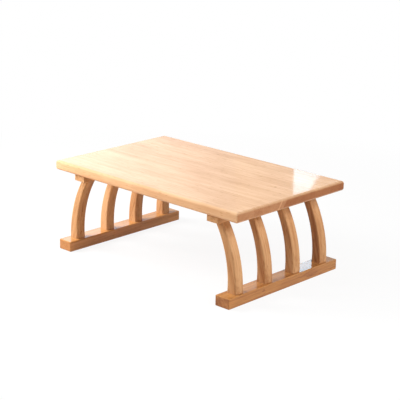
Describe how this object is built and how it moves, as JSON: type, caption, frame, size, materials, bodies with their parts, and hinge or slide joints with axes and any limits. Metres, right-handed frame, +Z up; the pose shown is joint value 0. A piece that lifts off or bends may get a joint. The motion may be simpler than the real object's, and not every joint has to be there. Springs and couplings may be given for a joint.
{
  "type": "low tea table",
  "caption": "Low rectangular wooden tea table: an edge-glued board top bolted to leg frames of curved, inward-leaning slats that stand on straight foot rails.",
  "frame": {"origin": "on the floor, under the middle of the table", "axes": "+X along the length of the top, +Y from front to back, +Z up"},
  "size_m": [0.8, 0.511, 0.3],
  "materials": {
    "top_wood": "natural light hardwood, clear satin lacquer",
    "frame_wood": "natural light hardwood, clear satin lacquer",
    "fastener_steel": "bright zinc plate",
    "insert_brass": "plain turned"
  },
  "bodies": {
    "root": {"top_board_1": "top_wood", "top_board_2": "top_wood", "top_board_3": "top_wood", "top_board_4": "top_wood", "top_board_5": "top_wood", "top_board_6": "top_wood", "top_board_7": "top_wood", "left_batten": "frame_wood", "right_batten": "frame_wood", "left_foot_rail": "frame_wood", "right_foot_rail": "frame_wood", "left_slat_1": "frame_wood", "left_slat_2": "frame_wood", "left_slat_3": "frame_wood", "left_slat_4": "frame_wood", "right_slat_1": "frame_wood", "right_slat_2": "frame_wood", "right_slat_3": "frame_wood", "right_slat_4": "frame_wood", "left_bolt_1": "fastener_steel", "left_bolt_2": "fastener_steel", "left_bolt_3": "fastener_steel", "right_bolt_1": "fastener_steel", "right_bolt_2": "fastener_steel", "right_bolt_3": "fastener_steel", "left_washer_1": "fastener_steel", "left_washer_2": "fastener_steel", "left_washer_3": "fastener_steel", "right_washer_1": "fastener_steel", "right_washer_2": "fastener_steel", "right_washer_3": "fastener_steel", "left_threaded_insert_1": "insert_brass", "left_threaded_insert_2": "insert_brass", "left_threaded_insert_3": "insert_brass", "right_threaded_insert_1": "insert_brass", "right_threaded_insert_2": "insert_brass", "right_threaded_insert_3": "insert_brass"}
  },
  "joints": []
}
